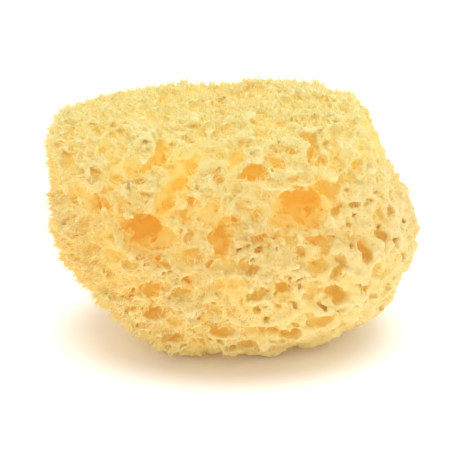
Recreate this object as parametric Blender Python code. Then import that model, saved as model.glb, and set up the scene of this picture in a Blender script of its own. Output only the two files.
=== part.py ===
"""A natural honeycomb sea sponge as one solid: a rounded block with a flat underside and open canals.

Lengths are written in millimetres and turned to metres by MM. The front faces -Y, the floor is z = 0,
and the origin is the middle of the sponge's box, on the floor.
"""

import math

import bmesh
import bpy
from mathutils import Matrix, Vector, noise

MM = 0.001

# The block, as stations up its height: height, then its reach to the left, right, front and back.
# The stations below the floor make the belly that the flat cut takes off.
STATIONS = (
    (-7.0, 0.0, 0.0, 0.0, 0.0),
    (-5.0, 16.0, 20.0, 12.0, 20.0),
    (0.0, 27.0, 37.0, 22.0, 34.0),
    (6.0, 34.5, 48.5, 33.0, 43.0),
    (13.0, 41.0, 57.5, 42.0, 49.0),
    (22.0, 48.5, 64.5, 50.0, 53.0),
    (32.0, 56.5, 69.5, 55.0, 55.5),
    (43.0, 62.0, 71.0, 56.5, 56.5),
    (54.0, 64.5, 68.0, 55.0, 56.5),
    (65.0, 65.0, 64.5, 51.5, 55.0),
    (75.0, 64.5, 60.5, 46.0, 51.5),
    (83.0, 61.0, 54.5, 39.5, 44.5),
    (88.5, 51.0, 46.0, 30.0, 34.0),
    (92.0, 28.0, 30.0, 15.0, 18.0),
    (92.5, 0.0, 0.0, 0.0, 0.0),
)
CROWN_HEIGHT = STATIONS[-1][0]
CROWN_CLIMB = 0.028  # how far the crown climbs to the right, for each millimetre across
PLAN_ROUNDNESS = 2.5  # 2 is an oval seen from above, and more is squarer
SPHERE_SUBDIVISIONS = 5
# The block's own lumps and dents, coarse then fine: how far apart they are, and how high.
KNOBS = ((27.0, 2.2), (11.0, 1.3))
KNOB_SEED = Vector((3.1, 7.7, 1.9))
HEART = Vector((0.0, 2.0, 48.0))  # the canals run in towards this point

# The canals: name, azimuth round the block in degrees (0 is the front, 90 the right), height of the
# mouth, its width, its tallness, and its depth.
CANALS = (
    ("brow_left", -33.0, 83.0, 6.0, 10.0, 11.0),
    ("brow_middle", 14.0, 78.0, 8.0, 7.0, 12.0),
    ("brow_right", 44.0, 82.0, 6.0, 9.0, 11.0),
    ("cheek_left", -49.0, 67.0, 8.0, 6.0, 11.0),
    ("middle_slot", -2.0, 57.0, 7.0, 10.0, 14.0),
    ("middle_pore", -14.0, 42.0, 7.0, 6.0, 11.0),
    ("lip_left", -23.0, 48.0, 7.0, 6.0, 11.0),
    ("slant_left", -28.0, 38.0, 10.0, 5.0, 12.0),
    ("chin_left", -27.0, 27.0, 8.0, 8.0, 12.0),
    ("hem_left", -26.0, 14.0, 8.0, 5.0, 10.0),
    ("strut_left", -2.0, 19.0, 10.0, 7.0, 13.0),
    ("strut_middle", 15.0, 20.0, 10.0, 7.0, 13.0),
    ("strut_right", 27.0, 18.0, 7.0, 9.0, 12.0),
    ("hip_front", 37.0, 23.0, 10.0, 8.0, 13.0),
    ("hip_middle", 39.0, 34.0, 8.0, 7.0, 11.0),
    ("cheek_near_right", 36.0, 54.0, 6.0, 8.0, 10.0),
    ("cheek_right", 48.0, 48.0, 7.0, 9.0, 11.0),
    ("right_upper", 85.0, 68.0, 10.0, 9.0, 14.0),
    ("right_lower", 92.0, 30.0, 12.0, 10.0, 15.0),
    ("back_right", 128.0, 52.0, 12.0, 11.0, 16.0),
    ("back_upper", 165.0, 74.0, 11.0, 9.0, 14.0),
    ("back_middle", 176.0, 40.0, 13.0, 12.0, 18.0),
    ("back_lower", 150.0, 20.0, 10.0, 8.0, 12.0),
    ("back_left", -140.0, 58.0, 12.0, 12.0, 16.0),
    ("back_left_lower", -158.0, 26.0, 9.0, 9.0, 12.0),
    ("left_upper", -98.0, 74.0, 10.0, 8.0, 13.0),
    ("left_middle", -85.0, 46.0, 11.0, 12.0, 15.0),
    ("left_lower", -110.0, 28.0, 9.0, 8.0, 12.0),
)
CANAL_SIDES = 10
CANAL_RINGS = 8

# The crown canals open upwards: name, place along X and Y on the level CROWN_LEVEL, width and depth.
CROWN_LEVEL = 90.0
CROWN_CANALS = (
    ("crown_left", -30.0, 8.0, 10.0, 13.0),
    ("crown_middle", 2.0, -8.0, 8.0, 12.0),
    ("crown_right", 18.0, 20.0, 11.0, 15.0),
    ("crown_back", -8.0, 32.0, 9.0, 12.0),
)

# The two great mouths are chains of round hollows that run straight in from the front: for each
# hollow its middle along X, Y and Z, and its width, length and tallness.
GREAT_MOUTHS = {
    "left_mouth": (
        (-29.7, -52.0, 57.5, 20.0, 34.0, 16.0),
        (-29.7, -36.0, 56.5, 15.0, 26.0, 12.0),
        (-23.2, -50.0, 67.5, 10.0, 18.0, 13.0),
        (-16.7, -45.0, 76.0, 7.0, 14.0, 12.0),
    ),
    "right_mouth": (
        (23.8, -49.0, 65.5, 21.0, 34.0, 16.0),
        (23.3, -34.0, 64.5, 15.0, 26.0, 12.0),
        (32.3, -42.0, 71.0, 12.0, 18.0, 9.0),
    ),
}
MOUTH_SIDES = 16
MOUTH_RINGS = 10

FLOOR_CUT_REACH = 200.0
FLOOR_CUT_DEPTH = 60.0

SPONGIN = (0.93, 0.68, 0.28, 1.0)  # the pale gold of the cleaned skeleton, as linear colour
SPONGIN_ROUGHNESS = 0.85


def clear_scene():
    """Removes the objects that Blender starts with."""
    for old in list(bpy.data.objects):
        bpy.data.objects.remove(old)


def collection_named(name):
    """A new collection in the scene."""
    made = bpy.data.collections.new(name)
    bpy.context.scene.collection.children.link(made)
    return made


def spongin_material():
    """Matt, pale gold skeleton."""
    material = bpy.data.materials.new("spongin")
    material.use_nodes = True
    shader = material.node_tree.nodes["Principled BSDF"]
    shader.inputs["Base Color"].default_value = SPONGIN
    shader.inputs["Roughness"].default_value = SPONGIN_ROUGHNESS
    shader.inputs["Metallic"].default_value = 0.0
    return material


def station_lengths():
    """The distance along the block's outline from the lowest station to each one, as a share of the whole."""
    lengths = [0.0]
    for lower, upper in zip(STATIONS, STATIONS[1:]):
        rise = upper[0] - lower[0]
        spread = (sum(upper[1:]) - sum(lower[1:])) / 4
        lengths.append(lengths[-1] + math.hypot(rise, spread))
    return [length / lengths[-1] for length in lengths]


LENGTHS = station_lengths()


def between_stations(share):
    """The height and four reaches at a share of the way up the outline, on a smooth curve."""
    i = max(k for k in range(len(LENGTHS) - 1) if LENGTHS[k] <= share or k == 0)
    t = (share - LENGTHS[i]) / (LENGTHS[i + 1] - LENGTHS[i])
    before, after = STATIONS[max(i - 1, 0)], STATIONS[min(i + 2, len(STATIONS) - 1)]
    row = []
    for p0, p1, p2, p3 in zip(before, STATIONS[i], STATIONS[i + 1], after):
        bend = (2 * p0 - 5 * p1 + 4 * p2 - p3) * t * t + (3 * p1 - p0 - 3 * p2 + p3) * t**3
        row.append(0.5 * (2 * p1 + (p2 - p0) * t + bend))
    return row


def on_ring(row, direction_x, direction_y):
    """The point of a station's outline in a level direction, in millimetres."""
    height, left, right, front, back = row
    reach_x = max(right if direction_x > 0 else left, 0.01)
    reach_y = max(back if direction_y > 0 else front, 0.01)
    squareness = (abs(direction_x) / reach_x) ** PLAN_ROUNDNESS + (abs(direction_y) / reach_y) ** PLAN_ROUNDNESS
    reach = squareness ** (-1 / PLAN_ROUNDNESS)
    climb = CROWN_CLIMB * direction_x * reach * max(height, 0.0) / CROWN_HEIGHT
    return Vector((direction_x * reach, direction_y * reach, height + climb))


def knobbed(point):
    """The point moved out or in by the block's own lumps."""
    outward = (point - HEART).normalized()
    lump = sum(height * noise.noise(point / spacing + KNOB_SEED) for spacing, height in KNOBS)
    return point + outward * lump


def block_point(direction):
    """Where a direction from inside meets the block's skin, in millimetres."""
    level = math.hypot(direction.x, direction.y)
    share = 0.5 + math.atan2(direction.z, level) / math.pi
    row = between_stations(min(max(share, 0.0), 1.0))
    if level < 1e-6:
        return knobbed(Vector((0.0, 0.0, row[0])))
    return knobbed(on_ring(row, direction.x / level, direction.y / level))


def skin_at(azimuth, height):
    """The point of the skin at an azimuth in degrees and a height, in millimetres."""
    turn = math.radians(azimuth)
    i = max(k for k in range(len(STATIONS) - 2) if STATIONS[k][0] <= height)
    t = (height - STATIONS[i][0]) / (STATIONS[i + 1][0] - STATIONS[i][0])
    row = [a + (b - a) * t for a, b in zip(STATIONS[i], STATIONS[i + 1])]
    return knobbed(on_ring(row, math.sin(turn), -math.cos(turn)))


def add_block(collection):
    """The block: a sphere whose points are moved to the stations' skin, centred on the origin."""
    mesh = bpy.data.meshes.new("sponge")
    shape = bmesh.new()
    bmesh.ops.create_icosphere(shape, subdivisions=SPHERE_SUBDIVISIONS, radius=1.0)
    for vertex in shape.verts:
        vertex.co = block_point(vertex.co)
    middle = box_middle(shape)
    for vertex in shape.verts:
        vertex.co = (vertex.co - middle) * MM
    shape.to_mesh(mesh)
    shape.free()
    block = bpy.data.objects.new("sponge", mesh)
    collection.objects.link(block)
    return block, middle


def box_middle(shape):
    """The middle of the shape's box in X and Y, at height 0."""
    xs = [vertex.co.x for vertex in shape.verts]
    ys = [vertex.co.y for vertex in shape.verts]
    return Vector(((min(xs) + max(xs)) / 2, (min(ys) + max(ys)) / 2, 0.0))


def add_hollow(collection, name, centre, inward, size, sides, rings):
    """An egg-shaped cutter. size is its width, its length along inward, and its tallness, in millimetres."""
    mesh = bpy.data.meshes.new(name)
    shape = bmesh.new()
    bmesh.ops.create_uvsphere(shape, u_segments=sides, v_segments=rings, radius=0.5)
    width, length, tallness = size
    bmesh.ops.scale(shape, vec=Vector((width, tallness, length)) * MM, verts=shape.verts)
    shape.to_mesh(mesh)
    shape.free()
    across = Vector((0.0, 0.0, 1.0)).cross(inward)
    across = across.normalized() if across.length > 1e-3 else Vector((1.0, 0.0, 0.0))
    upward = inward.cross(across)
    turn = Matrix((across, upward, inward)).transposed().to_4x4()
    hollow = bpy.data.objects.new(name, mesh)
    hollow.matrix_world = Matrix.Translation(centre * MM) @ turn
    hollow.hide_render = True
    hollow.display_type = "WIRE"
    collection.objects.link(hollow)
    return hollow


def add_canals(collection, middle):
    """The small canals round the sides and in the crown. A hollow is twice as long as its canal is deep."""
    for name, azimuth, height, width, tallness, depth in CANALS:
        mouth = skin_at(azimuth, height)
        inward = (HEART - mouth).normalized()
        size = (width, 2 * depth, tallness)
        add_hollow(collection, name, mouth - middle, inward, size, CANAL_SIDES, CANAL_RINGS)
    for name, x, y, width, depth in CROWN_CANALS:
        top = block_point(Vector((x, y, CROWN_LEVEL)))
        inward = (HEART - top).normalized()
        size = (width, 2 * depth, width)
        add_hollow(collection, name, top - middle, inward, size, CANAL_SIDES, CANAL_RINGS)


def add_great_mouths(collection):
    """The two great mouths, each a chain of hollows that overlap."""
    for name, chain in GREAT_MOUTHS.items():
        for i, (x, y, z, width, length, tallness) in enumerate(chain):
            centre = Vector((x, y, z))
            inward = Vector((0.0, 1.0, 0.0))
            size = (width, length, tallness)
            add_hollow(collection, f"{name}_{i}", centre, inward, size, MOUTH_SIDES, MOUTH_RINGS)


def add_floor_cut(collection):
    """The box below the floor that leaves the flat underside."""
    mesh = bpy.data.meshes.new("floor_cut")
    shape = bmesh.new()
    bmesh.ops.create_cube(shape, size=1.0)
    size = Vector((FLOOR_CUT_REACH, FLOOR_CUT_REACH, FLOOR_CUT_DEPTH)) * MM
    bmesh.ops.scale(shape, vec=size, verts=shape.verts)
    bmesh.ops.translate(shape, vec=Vector((0.0, 0.0, -FLOOR_CUT_DEPTH / 2 * MM)), verts=shape.verts)
    shape.to_mesh(mesh)
    shape.free()
    cut = bpy.data.objects.new("floor_cut", mesh)
    cut.hide_render = True
    cut.display_type = "WIRE"
    collection.objects.link(cut)
    return cut


def main():
    """Builds the sponge with its hollows and its flat underside."""
    clear_scene()
    sponge_collection = collection_named("sea_sponge")
    cutters = collection_named("cutters")
    floor_collection = collection_named("floor_cutter")

    sponge, middle = add_block(sponge_collection)
    sponge.data.materials.append(spongin_material())
    sponge.data.shade_smooth()

    add_canals(cutters, middle)
    add_great_mouths(cutters)
    hollows = sponge.modifiers.new("hollows", "BOOLEAN")
    hollows.operation = "DIFFERENCE"
    hollows.operand_type = "COLLECTION"
    hollows.collection = cutters
    hollows.solver = "EXACT"

    underside = sponge.modifiers.new("underside", "BOOLEAN")
    underside.operation = "DIFFERENCE"
    underside.object = add_floor_cut(floor_collection)
    underside.solver = "EXACT"


main()
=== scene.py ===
"""The looks of a natural honeycomb sea sponge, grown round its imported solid.

The solid gives the sponge's outer skin, with its great mouths and larger canals. A skeleton is grown through
that skin as a field over space, in Geometry Nodes: cell walls that stand square to the skin, pits between
them, crumbs on the walls, and pores where the picture shows them. The field is made a mesh, and fine tufts
are set on its crests. Lengths are millimetres in the classes' fields and metres in Blender.
"""

import logging
import math
import random
from dataclasses import dataclass, field
from enum import Enum
from typing import Any, Sequence

import bpy
from mathutils import Matrix, Vector

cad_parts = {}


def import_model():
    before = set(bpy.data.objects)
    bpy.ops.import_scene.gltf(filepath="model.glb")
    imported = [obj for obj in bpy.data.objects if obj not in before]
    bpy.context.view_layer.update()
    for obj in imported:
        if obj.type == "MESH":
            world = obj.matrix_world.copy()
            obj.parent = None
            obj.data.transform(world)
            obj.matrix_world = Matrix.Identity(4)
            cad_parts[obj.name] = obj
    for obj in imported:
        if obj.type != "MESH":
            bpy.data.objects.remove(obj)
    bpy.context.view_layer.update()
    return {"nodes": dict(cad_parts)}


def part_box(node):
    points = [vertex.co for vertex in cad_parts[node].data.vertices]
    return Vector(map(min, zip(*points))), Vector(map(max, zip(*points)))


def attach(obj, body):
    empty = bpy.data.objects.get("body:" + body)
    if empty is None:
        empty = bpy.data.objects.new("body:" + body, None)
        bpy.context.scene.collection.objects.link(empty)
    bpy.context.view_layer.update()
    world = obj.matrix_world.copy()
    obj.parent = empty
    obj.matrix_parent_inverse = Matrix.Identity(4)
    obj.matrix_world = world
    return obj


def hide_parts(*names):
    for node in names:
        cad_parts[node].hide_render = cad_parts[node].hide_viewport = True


LOG = logging.getLogger("sea_sponge")
MM = 0.001
PER_METRE = 1000.0
PICTURE_SIDE = 450
SENSOR_WIDTH = 36.0
NODE = "sponge"
BODY = "root"

# The kinds of node that are used most.
MATH = "ShaderNodeMath"
VECTORS = "ShaderNodeVectorMath"
RANGE = "ShaderNodeMapRange"

Socket = bpy.types.NodeSocket
Stops = tuple[tuple[float, str], ...]


def linear(hex_colour: str) -> tuple[float, float, float, float]:
    """Turns an sRGB hex colour to linear values.

    Args:
        hex_colour: Six hex digits, with or without a leading hash.

    Returns:
        Red, green, blue and an alpha of 1.
    """
    digits = hex_colour.lstrip("#")
    channels = [int(digits[i : i + 2], 16) / 255 for i in (0, 2, 4)]
    red, green, blue = (c / 12.92 if c <= 0.04045 else ((c + 0.055) / 1.055) ** 2.4 for c in channels)
    return red, green, blue, 1.0


def add_node(
    tree: bpy.types.NodeTree, kind: str, values: Any = (), output: Any = 0, **settings: Any
) -> Socket:
    """Adds one node with its settings, and fills its inputs.

    Args:
        tree: The node tree that gets the node.
        kind: The node's type name.
        values: What goes into the shown inputs, in order or by name. A socket is linked, and None is left.
        output: The number or the name of the shown output that is wanted.
        **settings: Properties of the node.

    Returns:
        The wanted output socket.
    """
    node = tree.nodes.new(kind)
    for name, value in settings.items():
        setattr(node, name, value)
    shown = [socket for socket in node.inputs if socket.enabled]
    pairs = values.items() if isinstance(values, dict) else enumerate(values)
    for key, value in pairs:
        socket = shown[key] if isinstance(key, int) else next(s for s in shown if s.name == key)
        if isinstance(value, bpy.types.NodeSocket):
            tree.links.new(value, socket)
        elif value is not None:
            socket.default_value = value
    made = [socket for socket in node.outputs if socket.enabled]
    return made[output] if isinstance(output, int) else next(s for s in made if s.name == output)


def set_stops(colour: Socket, stops: Stops) -> None:
    """Sets the stops of the colour ramp that a socket belongs to.

    Args:
        colour: The ramp's colour output.
        stops: Each stop's place, from 0 to 1, and its hex colour.
    """
    elements = colour.node.color_ramp.elements
    while len(elements) < len(stops):
        elements.new(0.5)
    for element, (at, hex_colour) in zip(elements, stops):
        element.position = at
        element.color = linear(hex_colour)


def sibling(socket: Socket, name: str) -> Socket:
    """Another output of the node that a socket belongs to."""
    return next(s for s in socket.node.outputs if s.enabled and s.name == name)


def select_only(thing: bpy.types.Object) -> None:
    """Selects one object and nothing else, and makes it active."""
    bpy.ops.object.select_all(action="DESELECT")
    thing.select_set(True)
    bpy.context.view_layer.objects.active = thing


def duplicate(thing: bpy.types.Object, name: str) -> bpy.types.Object:
    """A copy of an object under a new name, on its own mesh."""
    copy = thing.copy()
    copy.data = thing.data.copy()
    copy.name = name
    bpy.context.scene.collection.objects.link(copy)
    return copy


def apply_modifier(thing: bpy.types.Object, modifier: bpy.types.Modifier) -> None:
    """Applies one modifier of an object to its mesh."""
    select_only(thing)
    bpy.ops.object.modifier_apply(modifier=modifier.name)


class Depth(Enum):
    """How far a pore runs into the sponge, in millimetres. A gorge is a great mouth or the long groove."""

    DIMPLE = 4.4
    PIT = 6.4
    CANAL = 10.0
    GORGE = 14.0


DIMPLE, PIT, CANAL, GORGE = Depth


@dataclass(frozen=True)
class Pore:
    """A hole that the picture shows.

    Attributes:
        name: Where it is.
        pixel: Its middle in the picture.
        span: Its longer and shorter width in the picture, in pixels.
        tilt: How far its longer width is turned from level, in degrees, left-handed end up.
        depth: How far it runs in.
    """

    name: str
    pixel: tuple[float, float]
    span: tuple[float, float]
    tilt: float
    depth: Depth


# Every pore of the picture that is wider than about 2 mm, from the crown down.
PORES = (
    Pore("crown_left_dimple", (72, 115), (12, 7), -25, DIMPLE),
    Pore("crown_left_furrow", (108, 111), (14, 7), -15, DIMPLE),
    Pore("crown_left_nick", (152, 116), (9, 5), -15, DIMPLE),
    Pore("crown_middle_nick", (175, 112), (10, 8), 60, DIMPLE),
    Pore("crown_middle_pit", (197, 104), (16, 13), 80, PIT),
    Pore("crown_middle_twin", (219, 102), (16, 9), -10, PIT),
    Pore("crown_right_pit", (235, 93), (12, 9), -30, PIT),
    Pore("crown_right_nick", (256, 84), (9, 8), 0, DIMPLE),
    Pore("crown_right_furrow", (301, 96), (20, 8), -25, DIMPLE),
    Pore("crown_right_hollow", (261, 112), (13, 10), 30, PIT),
    Pore("crown_right_low", (281, 120), (10, 7), 0, PIT),
    Pore("crown_middle_low", (235, 120), (14, 8), 10, DIMPLE),
    Pore("brow_left_furrow", (97, 131), (16, 7), -20, DIMPLE),
    Pore("brow_left_nick", (125, 146), (7, 6), 0, DIMPLE),
    Pore("brow_slit", (164, 144), (23, 10), -58, CANAL),
    Pore("brow_spot", (145, 167), (15, 8), 10, CANAL),
    Pore("brow_spot_low", (140, 180), (12, 6), -5, PIT),
    Pore("brow_spot_left", (117, 176), (14, 8), -10, PIT),
    Pore("temple_dimple", (97, 170), (10, 8), 0, DIMPLE),
    Pore("temple_pore", (95, 198), (15, 9), -10, PIT),
    Pore("temple_soft", (78, 189), (20, 13), 20, DIMPLE),
    Pore("temple_soft_upper", (68, 162), (20, 13), -20, DIMPLE),
    Pore("groove_top", (194, 163), (19, 11), 78, GORGE),
    Pore("groove_middle", (178, 180), (26, 13), 42, GORGE),
    Pore("groove_low", (166, 200), (26, 14), 50, GORGE),
    Pore("nose_left", (192, 200), (14, 8), -70, CANAL),
    Pore("nose_upper", (220, 176), (10, 9), 0, PIT),
    Pore("nose_soft", (238, 155), (22, 18), 60, PIT),
    Pore("nose_soft_upper", (244, 141), (12, 10), 0, DIMPLE),
    Pore("nose_dot", (242, 174), (8, 7), 0, PIT),
    Pore("nose_square", (260, 172), (18, 13), -5, CANAL),
    Pore("nose_right", (280, 162), (17, 10), -20, CANAL),
    Pore("nose_right_dot", (293, 177), (7, 6), 0, PIT),
    Pore("brow_right_lid", (293, 148), (13, 7), -10, PIT),
    Pore("brow_right_eye", (309, 136), (17, 11), -20, CANAL),
    Pore("brow_right_tear", (314, 148), (15, 7), 60, CANAL),
    Pore("brow_right_dot", (310, 158), (8, 5), 0, PIT),
    Pore("brow_far_furrow", (337, 154), (26, 11), 85, DIMPLE),
    Pore("brow_far_upper", (336, 131), (20, 10), 80, DIMPLE),
    Pore("rim_right_upper", (363, 144), (14, 8), 10, PIT),
    Pore("rim_right_middle", (360, 162), (14, 11), 30, PIT),
    Pore("mouth_right_upper", (319, 186), (25, 10), 45, CANAL),
    Pore("mouth_right_side", (336, 187), (10, 10), 0, PIT),
    Pore("mouth_right_outer", (344, 178), (18, 8), 55, PIT),
    Pore("mouth_right_left", (289, 198), (18, 10), -35, GORGE),
    Pore("mouth_right_middle", (303, 206), (30, 22), 0, GORGE),
    Pore("mouth_right_low", (338, 210), (14, 9), 60, PIT),
    Pore("rim_right_furrow", (377, 190), (16, 6), 10, DIMPLE),
    Pore("middle_pair_left", (222, 223), (12, 8), 70, CANAL),
    Pore("middle_pair_right", (236, 217), (9, 8), 0, CANAL),
    Pore("middle_fork_left", (223, 244), (16, 10), 85, CANAL),
    Pore("middle_fork_right", (230, 234), (14, 7), 55, CANAL),
    Pore("middle_slit", (262, 236), (17, 6), 20, PIT),
    Pore("middle_dot", (260, 249), (8, 7), -60, CANAL),
    Pore("middle_soft", (190, 255), (28, 17), 0, DIMPLE),
    Pore("middle_low_left", (211, 262), (11, 6), 55, PIT),
    Pore("middle_low_dot", (245, 260), (9, 8), 0, PIT),
    Pore("middle_low_slit", (253, 271), (13, 6), 30, PIT),
    Pore("mouth_left_middle", (147, 232), (28, 24), 30, GORGE),
    Pore("mouth_left_right", (159, 230), (22, 10), -5, GORGE),
    Pore("mouth_left_low", (162, 260), (19, 9), -40, CANAL),
    Pore("cheek_left_nick", (91, 253), (10, 6), 80, DIMPLE),
    Pore("cheek_left_soft", (121, 255), (14, 8), 10, DIMPLE),
    Pore("cheek_left_low", (111, 274), (9, 7), 70, DIMPLE),
    Pore("cheek_right_slot", (328, 242), (14, 9), 85, PIT),
    Pore("cheek_right_soft", (293, 240), (14, 9), 10, DIMPLE),
    Pore("cheek_right_leaf", (367, 251), (22, 10), -50, CANAL),
    Pore("cheek_far_right", (383, 234), (17, 10), -5, PIT),
    Pore("cheek_right_bowl", (319, 266), (23, 13), -5, PIT),
    Pore("cheek_right_tear", (338, 271), (15, 7), 65, PIT),
    Pore("hip_right_soft", (380, 269), (15, 13), -40, DIMPLE),
    Pore("chin_left_slant", (150, 288), (25, 9), 25, CANAL),
    Pore("chin_left_sliver", (180, 292), (20, 7), 20, PIT),
    Pore("chin_left_peak", (189, 281), (10, 8), 70, PIT),
    Pore("chin_middle_soft", (221, 284), (18, 8), -5, DIMPLE),
    Pore("chin_middle_right", (235, 283), (15, 12), 60, DIMPLE),
    Pore("chin_left_dot", (211, 304), (9, 7), 35, CANAL),
    Pore("chin_left_hollow", (159, 311), (21, 15), 15, CANAL),
    Pore("chin_left_furrow", (137, 307), (14, 6), -10, DIMPLE),
    Pore("chin_left_low", (142, 323), (19, 9), 30, CANAL),
    Pore("chin_dot_upper", (258, 295), (10, 9), 80, PIT),
    Pore("chin_dot_lower", (258, 309), (8, 7), 0, PIT),
    Pore("chin_speck", (277, 294), (7, 5), -45, PIT),
    Pore("chin_right_soft", (312, 293), (20, 14), 80, DIMPLE),
    Pore("hip_nick", (337, 289), (10, 7), 0, PIT),
    Pore("hip_square", (341, 298), (16, 9), 30, CANAL),
    Pore("hip_right", (369, 287), (13, 9), 80, CANAL),
    Pore("hem_speck", (268, 318), (7, 5), 0, PIT),
    Pore("hem_wedge", (224, 331), (26, 11), 20, CANAL),
    Pore("hem_lens", (266, 329), (27, 12), 0, CANAL),
    Pore("hem_shield", (292, 332), (21, 16), 80, CANAL),
    Pore("hem_bowl", (326, 321), (23, 15), 25, CANAL),
    Pore("hem_left_arch", (175, 337), (16, 8), 15, CANAL),
    Pore("hem_left_gap", (198, 342), (12, 10), 70, CANAL),
    Pore("hem_middle_gap", (232, 345), (10, 9), 0, CANAL),
    Pore("hem_middle_arch", (250, 343), (19, 15), 60, CANAL),
    Pore("hem_right_arch", (271, 346), (16, 11), 20, CANAL),
)


@dataclass(frozen=True)
class Swelling:
    """A place where the tufts stand higher or lower than the solid's skin.

    Attributes:
        name: Where it is.
        place: Its middle, in millimetres.
        radius: How far it reaches.
        rise: How much the tufts gain at its middle, or lose where it is below zero.
    """

    name: str
    place: tuple[float, float, float]
    radius: float
    rise: float


# The picture's outline, where it leaves the solid's skin.
SWELLINGS = (
    Swelling("right_shoulder", (63.0, -2.0, 80.0), 27.0, -6.0),
    Swelling("left_flank", (-58.0, -14.0, 18.0), 28.0, -4.5),
    Swelling("left_brow", (-70.0, -5.0, 64.0), 22.0, -2.5),
    Swelling("left_crown_corner", (-66.0, 0.0, 84.0), 16.0, 2.5),
    Swelling("right_crown", (25.0, 5.0, 94.0), 22.0, 1.8),
    Swelling("right_hip", (66.0, -8.0, 28.0), 14.0, -2.5),
)


@dataclass
class Viewpoint:
    """The camera, as the picture was taken: a long lens, a little above the sponge.

    Attributes:
        elevation: Degrees above the horizon.
        distance: From the aimed point.
        aim: The point in the picture's middle.
        per_pixel: Millimetres to a picture's pixel, at the aimed point.
    """

    elevation: float = 20.0
    distance: float = 600.0
    aim: tuple[float, float, float] = (-3.0, 0.0, 42.2)
    per_pixel: float = 0.38

    @property
    def back(self) -> Vector:
        """The direction from the sponge to the camera."""
        turn = math.radians(self.elevation)
        return Vector((0.0, -math.cos(turn), math.sin(turn)))

    @property
    def right(self) -> Vector:
        """The picture's right."""
        return Vector((1.0, 0.0, 0.0))

    @property
    def up(self) -> Vector:
        """The picture's up."""
        return self.back.cross(self.right)

    @property
    def place(self) -> Vector:
        """Where the camera is, in metres."""
        return (Vector(self.aim) + self.back * self.distance) * MM

    @property
    def focal_pixels(self) -> float:
        """The focal length in pixels of the picture."""
        return self.distance / self.per_pixel

    def ray(self, pixel: tuple[float, float]) -> Vector:
        """The direction from the camera through a pixel.

        Args:
            pixel: Across and down from the picture's top left corner.

        Returns:
            A unit direction.
        """
        across = (pixel[0] - PICTURE_SIDE / 2) / self.focal_pixels
        down = (pixel[1] - PICTURE_SIDE / 2) / self.focal_pixels
        return (self.right * across - self.up * down - self.back).normalized()

    def build(self) -> bpy.types.Object:
        """Makes the camera."""
        bpy.ops.object.camera_add(location=self.place, rotation=(math.radians(90 - self.elevation), 0.0, 0.0))
        camera = bpy.context.object
        camera.name = "camera"
        camera.data.sensor_width = SENSOR_WIDTH
        camera.data.lens = SENSOR_WIDTH * self.focal_pixels / PICTURE_SIDE
        camera.data.clip_start = 0.01
        camera.data.clip_end = 20.0
        bpy.context.scene.camera = camera
        return camera


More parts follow.
